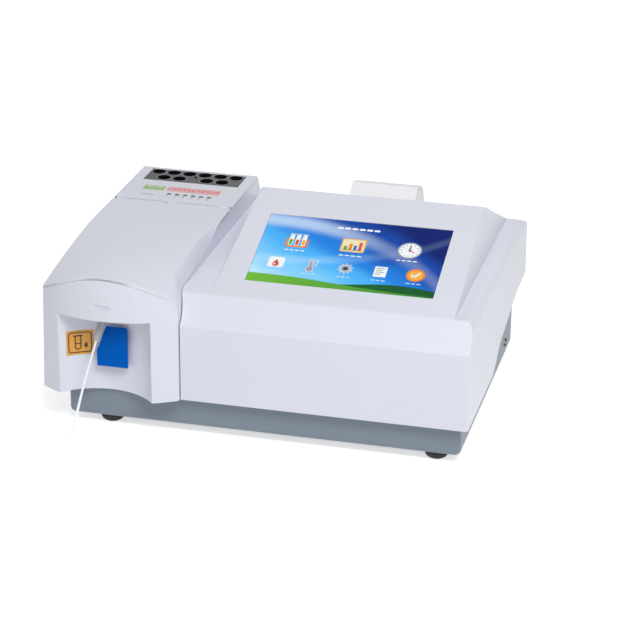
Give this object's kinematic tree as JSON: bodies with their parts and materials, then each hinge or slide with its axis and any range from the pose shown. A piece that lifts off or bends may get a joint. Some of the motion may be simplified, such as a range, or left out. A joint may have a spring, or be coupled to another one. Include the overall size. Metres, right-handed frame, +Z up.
{
  "type": "benchtop chemistry analyzer",
  "caption": "Benchtop flow-cell chemistry analyzer: tower with tube incubator, hood, aspirate key and probe beside a console with touch screen and strip printer.",
  "frame": {"origin": "middle of the whole footprint at floor level", "axes": "+X to the right along the front, +Y to the back, +Z up"},
  "size_m": [0.3532, 0.314, 0.1723],
  "materials": {
    "white_moulding": "fine satin",
    "slate_paint": "fine powder coat",
    "black_rubber": "matt",
    "black_moulding": "satin",
    "dark_anodised": "anodised matt",
    "blue_moulding": "semi gloss",
    "screen_glass": "polished",
    "plain_steel": "machined",
    "plain_aluminium": "satin",
    "green_board": "solder mask",
    "heater_rubber": "matt",
    "white_paper": "matt",
    "clear_glass": "clear",
    "grey_moulding": "satin",
    "lens_black": "polished"
  },
  "bodies": {
    "analyzer": {"base_tray": "slate_paint", "rubber_foot_front_left": "black_rubber", "rubber_foot_rear_left": "black_rubber", "rubber_foot_front_right": "black_rubber", "rubber_foot_rear_right": "black_rubber", "housing_shell": "white_moulding", "touch_glass": "screen_glass", "lcd_module": "black_moulding", "screen_bracket": "plain_steel", "tower_shell": "white_moulding", "key_pivot_pin": "plain_steel", "key_switch": "black_moulding", "sipper_probe": "plain_steel", "probe_guide": "grey_moulding", "hood_hinge_pin": "plain_steel", "incubator_cover": "white_moulding", "indicator_strip": "lens_black", "incubator_block": "dark_anodised", "heater_pad": "heater_rubber", "incubator_bracket": "plain_aluminium", "printer_housing": "white_moulding", "printer_lid_pin": "plain_steel", "print_head": "dark_anodised", "rear_panel": "slate_paint", "power_inlet": "black_moulding", "switch_frame": "black_moulding", "serial_port": "plain_steel", "usb_port": "plain_steel", "waste_outlet": "grey_moulding", "fan_frame": "black_moulding", "panel_screw_1": "plain_steel", "panel_screw_2": "plain_steel", "panel_screw_3": "plain_steel", "panel_screw_4": "plain_steel", "main_board": "green_board", "power_supply": "plain_aluminium", "optical_bench": "plain_aluminium", "lamp_housing": "plain_aluminium", "halogen_lamp": "clear_glass", "filter_motor": "plain_steel", "flow_cell": "black_moulding", "detector_board": "green_board", "pump_body": "grey_moulding", "pump_motor": "plain_steel"},
    "hood": {"hood_lid": "white_moulding"},
    "key": {"aspirate_key": "blue_moulding"},
    "printer_door": {"printer_lid": "white_moulding"},
    "platen": {"platen_roller": "black_rubber"},
    "paper": {"paper_roll": "white_paper", "paper_spindle": "grey_moulding"},
    "rocker": {"power_rocker": "black_moulding"},
    "fan": {"fan_rotor": "black_moulding"},
    "pump": {"pump_rotor": "black_moulding"},
    "wheel": {"filter_wheel": "dark_anodised"}
  },
  "joints": [
    {"name": "hood_hinge", "type": "hinge", "parent": "analyzer", "child": "hood", "pos_m": [-0.11813, 0.05537, 0.1357], "axis": [-1, 0, 0], "range_deg": [0, 75]},
    {"name": "aspirate_key_press", "type": "hinge", "parent": "analyzer", "child": "key", "pos_m": [-0.11363, -0.10653, 0.0825], "axis": [1, 0, 0], "range_deg": [0, 3.5], "stiffness_Nm_per_rad": 0.3, "springref_deg": -2.86},
    {"name": "printer_lid_hinge", "type": "hinge", "parent": "analyzer", "child": "printer_door", "pos_m": [0.06912, 0.08099, 0.15047], "axis": [-1, 0, 0], "range_deg": [0, 85]},
    {"name": "platen_spin", "type": "hinge", "parent": "printer_door", "child": "platen", "pos_m": [0.06912, 0.06247, 0.1605], "axis": [1, 0, 0], "continuous": true},
    {"name": "paper_roll_spin", "type": "hinge", "parent": "analyzer", "child": "paper", "pos_m": [0.06912, 0.06422, 0.1305], "axis": [1, 0, 0], "continuous": true},
    {"name": "power_rocker_tilt", "type": "hinge", "parent": "analyzer", "child": "rocker", "pos_m": [0.10536, 0.12817, 0.037], "axis": [1, 0, 0], "range_deg": [0, 20]},
    {"name": "fan_spin", "type": "hinge", "parent": "analyzer", "child": "fan", "pos_m": [0.03537, 0.12157, 0.037], "axis": [0, 1, 0], "continuous": true},
    {"name": "pump_spin", "type": "hinge", "parent": "analyzer", "child": "pump", "pos_m": [-0.11703, -0.07103, 0.034], "axis": [0, 1, 0], "continuous": true},
    {"name": "filter_wheel_spin", "type": "hinge", "parent": "analyzer", "child": "wheel", "pos_m": [-0.12513, 0.00097, 0.11], "axis": [0, 1, 0], "continuous": true}
  ]
}
